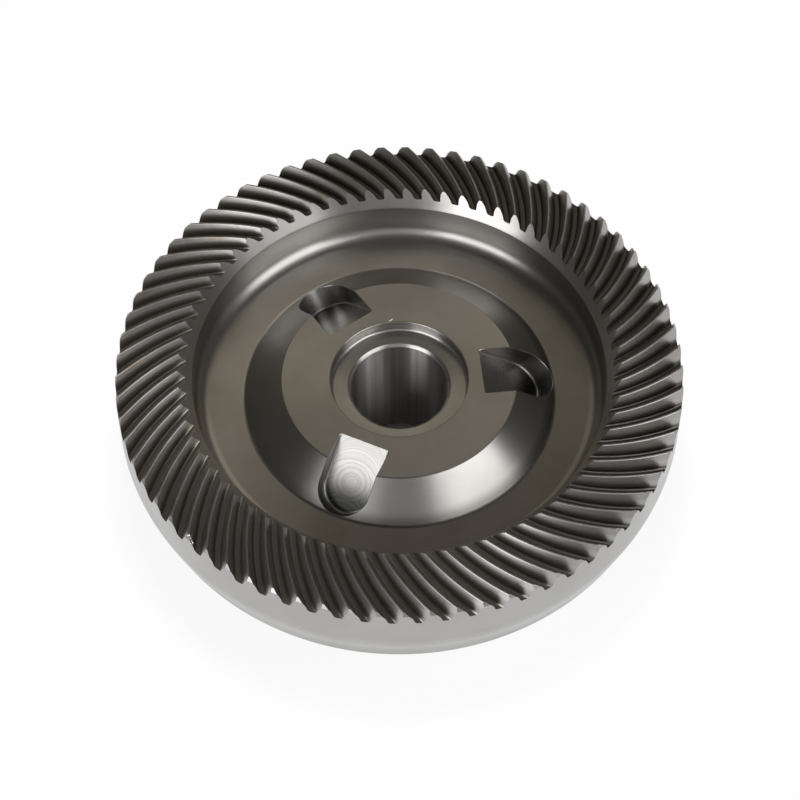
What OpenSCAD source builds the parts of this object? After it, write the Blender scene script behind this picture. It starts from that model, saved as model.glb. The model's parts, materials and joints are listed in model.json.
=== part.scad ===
// Spiral bevel ring gear: a dished web, a counterbored front hub with three milled
// pockets, and a plain rear hub, all one piece of steel. Millimetres.
// Z is the shaft axis, the teeth face up, and the origin is the centre of the rear hub's back face.

/* [Teeth] */
// Number of teeth
teeth = 69; // [62:1:90]
// Module at the heel, the outer end of the teeth
module_size = 1.25; // [1.15:0.05:1.6]
// Number of teeth on the pinion that this gear runs with
mate_teeth = 9; // [6:1:14]
// Length of a tooth along the pitch cone, from heel to toe
face_w = 9.6; // [7:0.1:13]
// Spiral angle at the middle of the teeth
spiral_angle = 36.8; // [0:0.1:42]
// Radius of the circular cutter that swept the tooth gaps
cutter_r = 38; // [30:0.5:60]
// Turn of the first tooth gap from the X axis, at the middle of the teeth
gap_turn = 2.5; // [0:0.1:5.2]
// Hand of the spiral
hand = "left"; // [left, right]
// Pressure angle of the flanks
pressure_angle = 16.5; // [14:0.5:20]
// Height of a tooth above the pitch cone, in modules
addendum = 0.46; // [0.3:0.02:0.6]
// Whole depth of a tooth gap at the heel, in modules
whole_depth = 1.888; // [1.5:0.004:2]
// Extra slope of the gap bottoms, which makes the gaps shallower towards the toe
root_tilt = 0.6; // [0:0.1:2]
// Width of the bottom of a gap, square to the tooth, in modules
gap_bottom = 0.76; // [0.6:0.02:0.84]
// Radius in the bottom corners of a gap, in modules
gap_corner = 0.3; // [0.1:0.02:0.36]
// Chamfer on the heel end of the tooth tips
heel_chamfer = 0.45; // [0.1:0.05:0.8]
// Chamfer on the toe end of the tooth tips
toe_chamfer = 0.15; // [0.05:0.05:0.5]

/* [Rim and bowl] */
// Depth of the bowl, from the tooth tips at the toe down to the web
bowl_depth = 8.55; // [7:0.05:14]
// Height of the turned cone at the toe end of the teeth
toe_cone_h = 2.9; // [2.4:0.1:4]
// Lean of the toe cone from the shaft axis
toe_cone_lean = 34.5; // [10:0.5:40]
// Lean of the bowl's wall from the shaft axis
bowl_lean = 3; // [0:0.5:10]
// Fillet between the bowl's wall and the web
bowl_fillet = 1.8; // [0.4:0.1:2.2]
// Height of the tapered part of the outer wall, from the back face up
taper_h = 6.8; // [3:0.1:10]
// Inset of the outer wall at the back face
taper_in = 2.1; // [0.5:0.1:4]
// Radius that blends the straight outer wall into its taper
taper_blend = 8; // [2:1:20]
// Rounding of the back edge of the rim
rim_edge = 0.6; // [0.2:0.1:1.5]

/* [Web and front hub] */
// Thickness of the web
web_t = 8.25; // [6:0.05:14]
// Height of the front hub above the web
hub_h = 4.2; // [2.5:0.1:6]
// Diameter of the flat on top of the front hub
hub_flat_d = 36; // [33:0.2:42]
// Slope of the hub's conical side, up from the web
hub_slope = 35; // [28:1:60]
// Fillet where the hub's cone meets the web
hub_fillet = 1; // [0.2:0.1:2]
// Rounding of the hub's upper edge
hub_edge = 0.4; // [0.1:0.1:1]

/* [Bore and counterbore] */
// Diameter of the shaft bore
bore_d = 15; // [8:0.1:18]
// Chamfer at both ends of the bore
bore_chamfer = 0.45; // [0.1:0.05:1]
// Diameter of the counterbore in the front hub
counterbore_d = 21.1; // [20.4:0.1:24]
// Depth of the counterbore
counterbore_depth = 2; // [0.8:0.1:4]
// Fillet at the foot of the counterbore's wall
counterbore_fillet = 0.4; // [0.1:0.05:0.6]

/* [Pockets] */
// Number of milled pockets around the hub
pockets = 3; // [2:1:5]
// Width of a pocket, which is the end mill's diameter
pocket_w = 8; // [4:0.1:10]
// Distance from the shaft axis to the inner edge of a pocket on the hub's flat
pocket_start = 12.7; // [12.2:0.1:15]
// Length of a pocket's floor down its slope
pocket_length = 11.3; // [8:0.1:13]
// Slope of the pocket's floor, down and outward
pocket_slope = 38; // [25:1:45]
// Turn of the first pocket from the X axis
pocket_turn = 6; // [0:1:119]

/* [Rear hub] */
// Diameter of the rear hub
rear_hub_d = 28; // [24:0.5:50]
// Height of the rear hub, from its back face to the back of the web
rear_hub_h = 12; // [2:0.1:20]
// Chamfer on the edge of the rear hub's back face
rear_hub_chamfer = 0.8; // [0.2:0.1:2]
// Fillet between the rear hub and the back of the web
rear_hub_fillet = 1.5; // [0.2:0.1:1.8]

/* [Hidden] */
$fn = 180;

// Straight steps in each rounded corner of a turned profile
corner_steps = 8;
// Straight steps in each rounded corner at the bottom of a tooth gap
gap_corner_steps = 2;
// Straight steps along the length of a tooth gap
gap_steps = 5;
// Amount by which a cutting shape passes the surface that it cuts
overcut = 0.4;
steel = [0.39, 0.38, 0.35];

// Levels above the back face of the rear hub
back_z = rear_hub_h;
web_z = back_z + web_t;
hub_z = web_z + hub_h;
counterbore_z = hub_z - counterbore_depth;
toe_tip_z = web_z + bowl_depth;

// Pitch cone, with its point on the shaft axis above the gear
pitch_r = teeth * module_size / 2;
pitch_angle = atan(teeth / mate_teeth);
cone_distance = pitch_r / sin(pitch_angle);
heel_addendum = addendum * module_size;
heel_dedendum = (whole_depth - addendum) * module_size;
tip_slope = 90 - pitch_angle - atan(heel_addendum / cone_distance);
root_slope = 90 - pitch_angle + atan(heel_dedendum / cone_distance) + root_tilt;

// Ends of the tooth tips and of the gap bottoms
outer_r = pitch_r + heel_addendum * cos(pitch_angle);
toe_addendum = heel_addendum * (1 - face_w / cone_distance);
toe_tip_r = pitch_r - face_w * sin(pitch_angle) + toe_addendum * cos(pitch_angle);
heel_tip_z = toe_tip_z - (outer_r - toe_tip_r) * tan(tip_slope);
heel_root_r = pitch_r - heel_dedendum * cos(pitch_angle);
heel_root_z = heel_tip_z - (heel_addendum + heel_dedendum) * sin(pitch_angle);

// Bowl, from the foot of the toe cone down to the web
toe_foot_z = toe_tip_z - toe_cone_h;
toe_foot_r = toe_tip_r - toe_cone_h * tan(toe_cone_lean);
bowl_foot_r = toe_foot_r - (toe_foot_z - web_z) * tan(bowl_lean);
hub_foot_r = hub_flat_d / 2 + hub_h / tan(hub_slope);

// Path of the round cutter, whose centre lies at cutter_offset from the shaft axis
mean_r = (outer_r + toe_tip_r) / 2;
cutter_offset = sqrt(mean_r ^ 2 + cutter_r ^ 2 - 2 * mean_r * cutter_r * sin(spiral_angle));
hand_sign = hand == "left" ? 1 : -1;

// Height of the tooth tips and of the gap bottoms at radius r
function tip_z(r) = heel_tip_z + (outer_r - r) * tan(tip_slope);
function root_z(r) = heel_root_z + (heel_root_r - r) * tan(root_slope);

// Angle around the shaft at which a gap's middle lies at radius r, zero at the middle of the teeth
function cutter_angle(r) = acos((r ^ 2 + cutter_offset ^ 2 - cutter_r ^ 2) / (2 * r * cutter_offset));
function gap_angle(r) = hand_sign * (cutter_angle(mean_r) - cutter_angle(r));

// Spiral angle of a gap at radius r
function spiral_at(r) = asin((r ^ 2 + cutter_r ^ 2 - cutter_offset ^ 2) / (2 * r * cutter_r));

// One corner of an outline, [x, y, radius], turned into an arc that is tangent to both sides
function unit(v) = v / norm(v);
function arc_points(centre, r, from, sweep, steps) =
    [for (i = [0:steps]) centre + r * [cos(from + sweep * i / steps), sin(from + sweep * i / steps)]];
function round_corner(before, corner, after, r, steps) =
    let (
        to_before = unit(before - corner),
        to_after = unit(after - corner),
        half = acos(to_before * to_after) / 2,
        centre = corner + unit(to_before + to_after) * r / sin(half),
        first = corner + to_before * r / tan(half) - centre,
        last = corner + to_after * r / tan(half) - centre,
        from = atan2(first.y, first.x),
        turn = atan2(last.y, last.x) - from,
        sweep = turn > 180 ? turn - 360 : turn < -180 ? turn + 360 : turn
    )
    arc_points(centre, r, from, sweep, steps);

// Closed outline from a list of corners, each [x, y] when sharp or [x, y, radius] when rounded
function xy(p) = [p.x, p.y];
function outline(corners, steps) =
    let (n = len(corners))
    [for (i = [0:n - 1])
        let (corner = corners[i], before = corners[(i + n - 1) % n], after = corners[(i + 1) % n])
        each len(corner) == 2
            ? [corner]
            : round_corner(xy(before), xy(corner), xy(after), corner.z, steps)];

// Turned blank without its bore: rear hub, back, outer wall, tooth tips, bowl, web and front hub
module blank() {
    rear_r = rear_hub_d / 2;
    rotate_extrude()
        polygon(outline([
            [0, 0],
            [rear_r - rear_hub_chamfer, 0],
            [rear_r, rear_hub_chamfer],
            [rear_r, back_z, rear_hub_fillet],
            [outer_r - taper_in, back_z, rim_edge],
            [outer_r, back_z + taper_h, taper_blend],
            [outer_r, heel_tip_z - heel_chamfer],
            [outer_r - heel_chamfer, tip_z(outer_r - heel_chamfer)],
            [toe_tip_r + toe_chamfer, tip_z(toe_tip_r + toe_chamfer)],
            [toe_tip_r - toe_chamfer * tan(toe_cone_lean), toe_tip_z - toe_chamfer],
            [toe_foot_r, toe_foot_z],
            [bowl_foot_r, web_z, bowl_fillet],
            [hub_foot_r, web_z, hub_fillet],
            [hub_flat_d / 2, hub_z, hub_edge],
            [0, hub_z]
        ], corner_steps));
}

// Space of the shaft bore with its chamfered ends, and of the counterbore above it
module bore_space() {
    bore_r = bore_d / 2;
    counterbore_r = counterbore_d / 2;
    wide_r = bore_r + bore_chamfer + overcut;
    rotate_extrude()
        polygon(outline([
            [0, -overcut],
            [wide_r, -overcut],
            [bore_r, bore_chamfer],
            [bore_r, counterbore_z - bore_chamfer],
            [bore_r + bore_chamfer, counterbore_z],
            [counterbore_r, counterbore_z, counterbore_fillet],
            [counterbore_r, hub_z + overcut],
            [0, hub_z + overcut]
        ], corner_steps));
}

// Cross-section of a tooth gap at radius r, as [offset from its middle, height above its bottom]
function gap_section(r) =
    let (
        stretch = 1 / cos(spiral_at(r)),
        height = tip_z(r) - root_z(r) + overcut,
        half_bottom = gap_bottom * module_size * stretch / 2,
        half_top = half_bottom + height * tan(pressure_angle) * stretch,
        corner_r = gap_corner * module_size
    )
    outline([
        [-half_top, height],
        [-half_bottom, 0, corner_r],
        [half_bottom, 0, corner_r],
        [half_top, height]
    ], gap_corner_steps);

// Point of a gap at radius r, given its offset around the shaft and its height above the bottom
function gap_point(r, p) =
    let (angle = gap_angle(r) + p.x / r * 180 / PI)
    [r * cos(angle), r * sin(angle), root_z(r) + p.y];

// Space between two teeth, swept along the curved spiral from inside the toe to outside the heel
module tooth_gap() {
    first_r = toe_foot_r - overcut;
    last_r = outer_r + overcut;
    radii = [for (i = [0:gap_steps]) first_r + (last_r - first_r) * i / gap_steps];
    ring = len(gap_section(mean_r));
    points = [for (r = radii) each [for (p = gap_section(r)) gap_point(r, p)]];
    toe_end = [for (k = [1:ring - 2]) [0, k, k + 1]];
    last = gap_steps * ring;
    heel_end = [for (k = [1:ring - 2]) [last, last + k + 1, last + k]];
    walls = [
        for (i = [0:gap_steps - 1], k = [0:ring - 1])
            let (a = i * ring + k, b = i * ring + (k + 1) % ring)
            each [[a, a + ring, b], [b, a + ring, b + ring]]
    ];
    polyhedron(points, concat(toe_end, walls, heel_end));
}

// Slot that an end mill leaves when its axis stands square to a floor sloping down and outward.
// It starts at the flat of the hub and ends in a half round. At its outer end the slot's top
// is back at the level of the hub's flat.
module pocket_space() {
    mill_r = pocket_w / 2;
    reach = pocket_length * tan(pocket_slope);
    translate([pocket_start, 0, hub_z])
        rotate([0, pocket_slope, 0])
            union() {
                translate([pocket_length - mill_r, 0, 0])
                    cylinder(h = reach, r = mill_r);
                translate([0, -mill_r, 0])
                    cube([pocket_length - mill_r, pocket_w, reach]);
            }
}

// The whole gear, one solid
module bevel_gear() {
    color(steel)
        difference() {
            blank();
            bore_space();
            for (i = [0:teeth - 1])
                rotate([0, 0, gap_turn + 360 / teeth * i])
                    tooth_gap();
            for (i = [0:pockets - 1])
                rotate([0, 0, pocket_turn + 360 / pockets * i])
                    pocket_space();
        }
}

bevel_gear();
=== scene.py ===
"""Looks of a spiral bevel gear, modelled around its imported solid.

The gear is one closed mesh in metres. Its turned body is spun from a drawn profile, one tooth is
modelled flat on the bench, wrapped round the shaft and copied, three pockets are milled into the
hub, and a few dents are pressed into the finished form.
"""
import json
import logging
import math
from contextlib import contextmanager
from dataclasses import dataclass
from enum import Enum
from typing import Callable, Iterator

import bmesh
import bpy
from mathutils import Matrix, Vector

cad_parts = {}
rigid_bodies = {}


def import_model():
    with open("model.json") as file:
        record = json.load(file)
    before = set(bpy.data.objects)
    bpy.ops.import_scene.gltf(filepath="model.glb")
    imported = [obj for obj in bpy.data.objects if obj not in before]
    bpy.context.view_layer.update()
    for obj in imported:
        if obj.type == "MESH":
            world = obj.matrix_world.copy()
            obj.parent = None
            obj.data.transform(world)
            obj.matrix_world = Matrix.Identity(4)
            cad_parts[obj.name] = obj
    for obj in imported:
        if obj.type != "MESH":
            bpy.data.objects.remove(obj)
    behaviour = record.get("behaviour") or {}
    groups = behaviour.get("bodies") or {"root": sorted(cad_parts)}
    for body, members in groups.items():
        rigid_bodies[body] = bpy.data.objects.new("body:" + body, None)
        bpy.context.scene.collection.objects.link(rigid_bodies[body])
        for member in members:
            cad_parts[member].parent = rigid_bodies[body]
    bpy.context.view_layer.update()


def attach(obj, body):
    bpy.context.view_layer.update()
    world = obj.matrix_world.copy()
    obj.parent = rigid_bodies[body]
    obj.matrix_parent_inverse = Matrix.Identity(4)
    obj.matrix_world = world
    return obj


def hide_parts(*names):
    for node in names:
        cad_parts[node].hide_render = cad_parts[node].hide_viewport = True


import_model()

LOG = logging.getLogger("bevel_gear")
MM = 0.001
FULL_TURN = 2.0 * math.pi
TINY = 1e-7
NEAR = 1e-6
NO_MOVE = (0.0, 0.0, 0.0)
SHAFT = {"center": (0.0, 0.0, 0.0), "axis": (0.0, 0.0, 1.0)}
MILL_MAP = "mill_path"
TOOTH_RISE = "tooth_rise"
Tone = tuple[float, float, float]
Socket = bpy.types.NodeSocket
Value = Socket | float | tuple[float, ...]


class Element(Enum):
    """Kind of mesh element that a selection is made of."""

    VERT = "VERT"
    EDGE = "EDGE"
    FACE = "FACE"


class Finish(Enum):
    """Names of the finishes that the gear's surfaces carry."""

    BODY = "turned_steel"
    RIM = "ground_rim_steel"
    TEETH = "cut_tooth_steel"
    BORE = "honed_bore_steel"
    POCKET = "milled_pocket_steel"
    BACK = "faced_back_steel"
    NICK = "bare_nick_steel"


# Sizes of the gear

@dataclass(frozen=True)
class GearSizes:
    """Driving sizes of the gear, in metres and radians, and the levels that follow from them."""

    teeth: int = 69
    module_size: float = 1.25 * MM
    mate_teeth: int = 9
    face_w: float = 9.6 * MM
    spiral: float = math.radians(36.8)
    cutter_r: float = 38.0 * MM
    gap_turn: float = math.radians(2.5)
    pressure: float = math.radians(16.5)
    addendum: float = 0.46
    whole_depth: float = 1.888
    root_tilt: float = math.radians(0.6)
    gap_bottom: float = 0.76
    gap_corner: float = 0.3
    heel_chamfer: float = 0.45 * MM
    toe_chamfer: float = 0.15 * MM
    bowl_depth: float = 8.55 * MM
    toe_cone_h: float = 2.9 * MM
    toe_cone_lean: float = math.radians(34.5)
    bowl_lean: float = math.radians(3.0)
    bowl_fillet: float = 2.5 * MM
    taper_h: float = 6.8 * MM
    taper_in: float = 2.1 * MM
    taper_blend: float = 8.0 * MM
    rim_edge: float = 0.6 * MM
    web_t: float = 8.25 * MM
    hub_h: float = 4.2 * MM
    hub_flat_r: float = 18.0 * MM
    hub_slope: float = math.radians(35.0)
    hub_fillet: float = 1.0 * MM
    hub_edge: float = 0.4 * MM
    bore_r: float = 7.5 * MM
    bore_chamfer: float = 0.45 * MM
    counterbore_r: float = 10.55 * MM
    counterbore_depth: float = 2.0 * MM
    counterbore_fillet: float = 0.6 * MM
    pockets: int = 3
    pocket_w: float = 8.0 * MM
    pocket_start: float = 12.7 * MM
    pocket_length: float = 11.3 * MM
    pocket_slope: float = math.radians(38.0)
    pocket_turn: float = math.radians(6.0)
    rear_hub_r: float = 14.0 * MM
    rear_hub_h: float = 12.0 * MM
    rear_hub_chamfer: float = 0.8 * MM
    rear_hub_fillet: float = 1.5 * MM

    @property
    def pitch(self) -> float:
        """Angle from one tooth to the next."""
        return FULL_TURN / self.teeth

    @property
    def web_z(self) -> float:
        """Level of the web's front face."""
        return self.rear_hub_h + self.web_t

    @property
    def hub_z(self) -> float:
        """Level of the flat on the front hub."""
        return self.web_z + self.hub_h

    @property
    def counterbore_z(self) -> float:
        """Level of the counterbore's floor."""
        return self.hub_z - self.counterbore_depth

    @property
    def pitch_r(self) -> float:
        """Radius of the pitch circle at the heel."""
        return self.teeth * self.module_size / 2.0

    @property
    def pitch_angle(self) -> float:
        """Half angle of the pitch cone."""
        return math.atan(self.teeth / self.mate_teeth)

    @property
    def cone_distance(self) -> float:
        """Length of the pitch cone's side."""
        return self.pitch_r / math.sin(self.pitch_angle)

    @property
    def heel_addendum(self) -> float:
        """Height of a tooth above the pitch cone at the heel."""
        return self.addendum * self.module_size

    @property
    def heel_dedendum(self) -> float:
        """Depth of a gap below the pitch cone at the heel."""
        return (self.whole_depth - self.addendum) * self.module_size

    @property
    def tip_slope(self) -> float:
        """Slope of the tooth tips, falling outward."""
        return math.pi / 2 - self.pitch_angle - math.atan(self.heel_addendum / self.cone_distance)

    @property
    def root_slope(self) -> float:
        """Slope of the gap bottoms, falling outward."""
        below_pitch = math.atan(self.heel_dedendum / self.cone_distance)
        return math.pi / 2 - self.pitch_angle + below_pitch + self.root_tilt

    @property
    def outer_r(self) -> float:
        """Radius of the outer wall."""
        return self.pitch_r + self.heel_addendum * math.cos(self.pitch_angle)

    @property
    def toe_tip_r(self) -> float:
        """Radius of the tooth tips at the toe.

        Returns:
            The radius, in metres.
        """
        toe_addendum = self.heel_addendum * (1.0 - self.face_w / self.cone_distance)
        inner = self.pitch_r - self.face_w * math.sin(self.pitch_angle)
        return inner + toe_addendum * math.cos(self.pitch_angle)

    @property
    def toe_tip_z(self) -> float:
        """Level of the tooth tips at the toe, the highest of the gear."""
        return self.web_z + self.bowl_depth

    @property
    def heel_tip_z(self) -> float:
        """Level of the tooth tips at the heel."""
        return self.toe_tip_z - (self.outer_r - self.toe_tip_r) * math.tan(self.tip_slope)

    @property
    def heel_root_z(self) -> float:
        """Level of the gap bottoms at the outer wall.

        Returns:
            The height above the back, in metres.
        """
        depth = (self.heel_addendum + self.heel_dedendum) * math.sin(self.pitch_angle)
        inner = self.pitch_r - self.heel_dedendum * math.cos(self.pitch_angle)
        return self.heel_tip_z - depth - (self.outer_r - inner) * math.tan(self.root_slope)

    @property
    def toe_foot_z(self) -> float:
        """Level of the foot of the toe cone."""
        return self.toe_tip_z - self.toe_cone_h

    @property
    def bowl_foot_r(self) -> float:
        """Radius of the bowl's wall at the web."""
        return self.toe_cone_r(self.toe_foot_z) - (self.toe_foot_z - self.web_z) * math.tan(self.bowl_lean)

    @property
    def hub_foot_r(self) -> float:
        """Radius of the hub's cone at the web."""
        return self.hub_flat_r + self.hub_h / math.tan(self.hub_slope)

    @property
    def mean_r(self) -> float:
        """Radius of the middle of the teeth."""
        return (self.outer_r + self.toe_tip_r) / 2.0

    @property
    def cutter_offset(self) -> float:
        """Distance of the tooth cutter's centre from the shaft axis."""
        r, c = self.mean_r, self.cutter_r
        return math.sqrt(r * r + c * c - 2.0 * r * c * math.sin(self.spiral))

    def tip_z(self, r: float) -> float:
        """Level of the tooth tips at radius r."""
        return self.heel_tip_z + (self.outer_r - r) * math.tan(self.tip_slope)

    def root_z(self, r: float) -> float:
        """Level of the gap bottoms at radius r."""
        return self.heel_root_z + (self.outer_r - r) * math.tan(self.root_slope)

    def toe_cone_r(self, z: float) -> float:
        """Radius of the toe cone at level z."""
        return self.toe_tip_r - (self.toe_tip_z - z) * math.tan(self.toe_cone_lean)

    def cutter_angle(self, r: float) -> float:
        """Angle between the cutter's centre and a gap's middle at radius r, seen from the shaft."""
        q, c = self.cutter_offset, self.cutter_r
        return math.acos((r * r + q * q - c * c) / (2.0 * r * q))

    def gap_angle(self, r: float) -> float:
        """Turn of a gap's middle at radius r from its place at the middle of the teeth."""
        return self.cutter_angle(self.mean_r) - self.cutter_angle(r)

    def spiral_at(self, r: float) -> float:
        """Spiral angle of the teeth at radius r."""
        q, c = self.cutter_offset, self.cutter_r
        return math.asin((r * r + c * c - q * q) / (2.0 * r * c))

    def across_half_pitch(self, r: float) -> tuple[float, float, float, float]:
        """Give the corners across half a pitch at radius r.

        Args:
            r: Radius at which the corners are wanted.

        Returns:
            Distances round the shaft from a gap's middle: the middle itself, the edge of the
            gap's bottom, the corner of the tooth's crest and the middle of the tooth.
        """
        stretch = 1.0 / math.cos(self.spiral_at(r))
        bottom = self.gap_bottom * self.module_size * stretch / 2.0
        flank = (self.tip_z(r) - self.root_z(r)) * math.tan(self.pressure) * stretch
        return 0.0, bottom, bottom + flank, self.pitch * r / 2.0


# Bench tools

def rest_all() -> None:
    """Leave edit mode and deselect every object."""
    if bpy.context.object is not None and bpy.context.object.mode != "OBJECT":
        bpy.ops.object.mode_set(mode="OBJECT")
    bpy.ops.object.select_all(action="DESELECT")


def take(*pieces: bpy.types.Object) -> None:
    """Select some objects and no others, and make the first of them active.

    Args:
        pieces: The objects to select.
    """
    rest_all()
    for piece in pieces:
        piece.select_set(True)
    bpy.context.view_layer.objects.active = pieces[0]


@contextmanager
def editing(piece: bpy.types.Object) -> Iterator[None]:
    """Hold one object open in edit mode.

    Args:
        piece: The mesh object to edit.

    Returns:
        A context in which mesh operators act on the piece.
    """
    take(piece)
    bpy.ops.object.mode_set(mode="EDIT")
    try:
        yield
    finally:
        bpy.ops.object.mode_set(mode="OBJECT")


def pick(piece: bpy.types.Object, element: Element, test: Callable[..., bool]) -> int:
    """Select the elements of an open mesh that pass a test, and no others.

    Args:
        piece: The object that is open in edit mode.
        element: Kind of element to select.
        test: Says of one element whether it is wanted.

    Returns:
        How many elements were selected.
    """
    bpy.ops.mesh.select_mode(type=element.value)
    bpy.ops.mesh.select_all(action="DESELECT")
    mesh = bmesh.from_edit_mesh(piece.data)
    found = {Element.VERT: mesh.verts, Element.EDGE: mesh.edges, Element.FACE: mesh.faces}[element]
    wanted = [e for e in found if test(e)]
    for e in wanted:
        e.select_set(True)
    mesh.select_flush_mode()
    bmesh.update_edit_mesh(piece.data)
    return len(wanted)


def place_vertices(piece: bpy.types.Object, rule: Callable[[Vector], Vector],
                   only_picked: bool = True) -> None:
    """Move vertices of an open mesh to the places that a rule gives.

    Args:
        piece: The object that is open in edit mode.
        rule: Gives the new place of a vertex from its old one.
        only_picked: Whether only the selected vertices move.
    """
    mesh = bmesh.from_edit_mesh(piece.data)
    for v in mesh.verts:
        if v.select or not only_picked:
            v.co = rule(v.co.copy())
    bmesh.update_edit_mesh(piece.data)


def draw_chain(name: str, points: list[Vector]) -> bpy.types.Object:
    """Draw a chain of edges point by point.

    Args:
        name: Name of the new object.
        points: Places of the chain's vertices in order.

    Returns:
        The new object, with the chain in its mesh.
    """
    rest_all()
    bpy.ops.mesh.primitive_plane_add(size=MM, location=points[0])
    piece = bpy.context.object
    piece.name = name
    bpy.ops.object.transform_apply(location=True, rotation=True, scale=True)
    with editing(piece):
        bpy.ops.mesh.select_mode(type="VERT")
        bpy.ops.mesh.select_all(action="SELECT")
        bpy.ops.mesh.merge(type="CENTER")
        for start, end in zip(points, points[1:]):
            bpy.ops.mesh.extrude_vertices_move(TRANSFORM_OT_translate={"value": end - start})
    return piece


def round_corner(piece: bpy.types.Object, before: Vector, corner: Vector, after: Vector,
                 radius: float, steps: int) -> None:
    """Round one corner of an open chain.

    Args:
        piece: The object that is open in edit mode.
        before: The point before the corner.
        corner: The corner itself.
        after: The point after the corner.
        radius: Radius of the rounding.
        steps: Straight steps in the rounding.
    """
    half = (before - corner).angle(after - corner) / 2.0
    pick(piece, Element.VERT, lambda v: (v.co - corner).length < NEAR)
    bpy.ops.mesh.bevel(offset_type="OFFSET", offset=radius / math.tan(half), segments=steps,
                       profile=0.5, affect="VERTICES")


def merge_and_face_out(piece: bpy.types.Object, reach: float = NEAR) -> None:
    """Merge doubled vertices of a piece and turn its faces outward.

    Args:
        piece: The object to clean.
        reach: Distance within which vertices are merged.
    """
    with editing(piece):
        bpy.ops.mesh.select_mode(type="VERT")
        bpy.ops.mesh.select_all(action="SELECT")
        bpy.ops.mesh.remove_doubles(threshold=reach)
        bpy.ops.mesh.normals_make_consistent(inside=False)


def cut_away(piece: bpy.types.Object, cutter: bpy.types.Object) -> None:
    """Cut one closed object out of another and throw the cutter away.

    Args:
        piece: The object to cut into.
        cutter: The space to cut away.
    """
    take(piece)
    cut = piece.modifiers.new("cut", "BOOLEAN")
    cut.operation = "DIFFERENCE"
    cut.solver = "MANIFOLD"
    cut.object = cutter
    bpy.ops.object.modifier_apply(modifier=cut.name)
    bpy.data.objects.remove(cutter, do_unlink=True)


def open_edges(piece: bpy.types.Object) -> int:
    """Count the edges of a piece that don't lie between exactly two faces.

    Args:
        piece: The object to look at.

    Returns:
        How many such edges it has.
    """
    mesh = bmesh.new()
    mesh.from_mesh(piece.data)
    count = sum(1 for e in mesh.edges if len(e.link_faces) != 2)
    mesh.free()
    return count


def between(x: float, xs: tuple[float, ...], ys: tuple[float, ...]) -> float:
    """Read a value off a line through points.

    Args:
        x: Where to read.
        xs: Rising places of the points.
        ys: Values at the points.

    Returns:
        The value at x.
    """
    for x0, x1, y0, y1 in zip(xs, xs[1:], ys, ys[1:]):
        if x <= x1:
            return y0 + (y1 - y0) * (x - x0) / (x1 - x0)
    return ys[-1]


# The gear's forms

@dataclass(frozen=True)
class Corner:
    """A corner of a drawn profile, with the radius and steps of its rounding."""

    r: float
    z: float
    rounding: float = 0.0
    steps: int = 5

    @property
    def place(self) -> Vector:
        """Place of the corner in the plane of the drawn profile."""
        return Vector((self.r, 0.0, self.z))


def draw_profile(name: str, corners: list[Corner]) -> bpy.types.Object:
    """Draw a profile and round its corners.

    Args:
        name: Name of the new object.
        corners: The profile's corners in order.

    Returns:
        The new object, with the profile in its mesh.
    """
    piece = draw_chain(name, [c.place for c in corners])
    with editing(piece):
        for before, corner, after in zip(corners, corners[1:], corners[2:]):
            if corner.rounding > 0.0:
                round_corner(piece, before.place, corner.place, after.place,
                             corner.rounding, corner.steps)
    return piece


@dataclass
class TurnedBody:
    """Everything that is turned on a lathe: wall, back, hubs, bore, counterbore, web and bowl."""

    sizes: GearSizes
    columns_per_tooth: int = 4
    wall_top_drop: float = 1.1 * MM
    toe_top_drop: float = 2.6 * MM
    back_break: float = 0.1 * MM
    bore_back_break: float = 0.05 * MM
    bore_front_break: float = 0.08 * MM
    lip_round: float = 0.2 * MM
    toe_foot_round: float = 0.3 * MM

    @property
    def wall_top_z(self) -> float:
        """Level at which the body's wall ends below the gaps."""
        return self.sizes.heel_root_z - self.wall_top_drop

    @property
    def toe_top_z(self) -> float:
        """Level at which the body's toe cone ends below the gaps."""
        return self.sizes.toe_tip_z - self.toe_top_drop

    def corners(self) -> list[Corner]:
        """Draw up the profile.

        Returns:
            Its corners from the outer wall, round the back and through the bore to the toe cone.
        """
        s = self.sizes
        bore_edge = s.bore_r + s.bore_chamfer
        return [
            Corner(s.outer_r, self.wall_top_z),
            Corner(s.outer_r, s.rear_hub_h + s.taper_h, s.taper_blend, 4),
            Corner(s.outer_r - s.taper_in, s.rear_hub_h, s.rim_edge, 5),
            Corner(s.rear_hub_r, s.rear_hub_h, s.rear_hub_fillet, 6),
            Corner(s.rear_hub_r, s.rear_hub_chamfer, self.back_break, 2),
            Corner(s.rear_hub_r - s.rear_hub_chamfer, 0.0, self.back_break, 2),
            Corner(bore_edge, 0.0, self.bore_back_break, 2),
            Corner(s.bore_r, s.bore_chamfer, self.bore_back_break, 2),
            Corner(s.bore_r, s.counterbore_z - s.bore_chamfer, self.bore_front_break, 2),
            Corner(bore_edge, s.counterbore_z, self.bore_front_break, 2),
            Corner(s.counterbore_r, s.counterbore_z, s.counterbore_fillet, 8),
            Corner(s.counterbore_r, s.hub_z, self.lip_round, 4),
            Corner(s.hub_flat_r, s.hub_z, s.hub_edge, 3),
            Corner(s.hub_foot_r, s.web_z, s.hub_fillet, 4),
            Corner(s.bowl_foot_r, s.web_z, s.bowl_fillet, 9),
            Corner(s.toe_cone_r(s.toe_foot_z), s.toe_foot_z, self.toe_foot_round, 3),
            Corner(s.toe_cone_r(self.toe_top_z), self.toe_top_z),
        ]

    def build(self) -> bpy.types.Object:
        """Draw the profile, round its corners and spin it round the shaft.

        Returns:
            The turned body, open under the teeth.
        """
        piece = draw_profile("gear_body", self.corners())
        with editing(piece):
            bpy.ops.mesh.select_all(action="SELECT")
            bpy.ops.mesh.spin(steps=self.sizes.teeth * self.columns_per_tooth, angle=FULL_TURN,
                              use_auto_merge=True, **SHAFT)
        merge_and_face_out(piece)
        return piece


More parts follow.
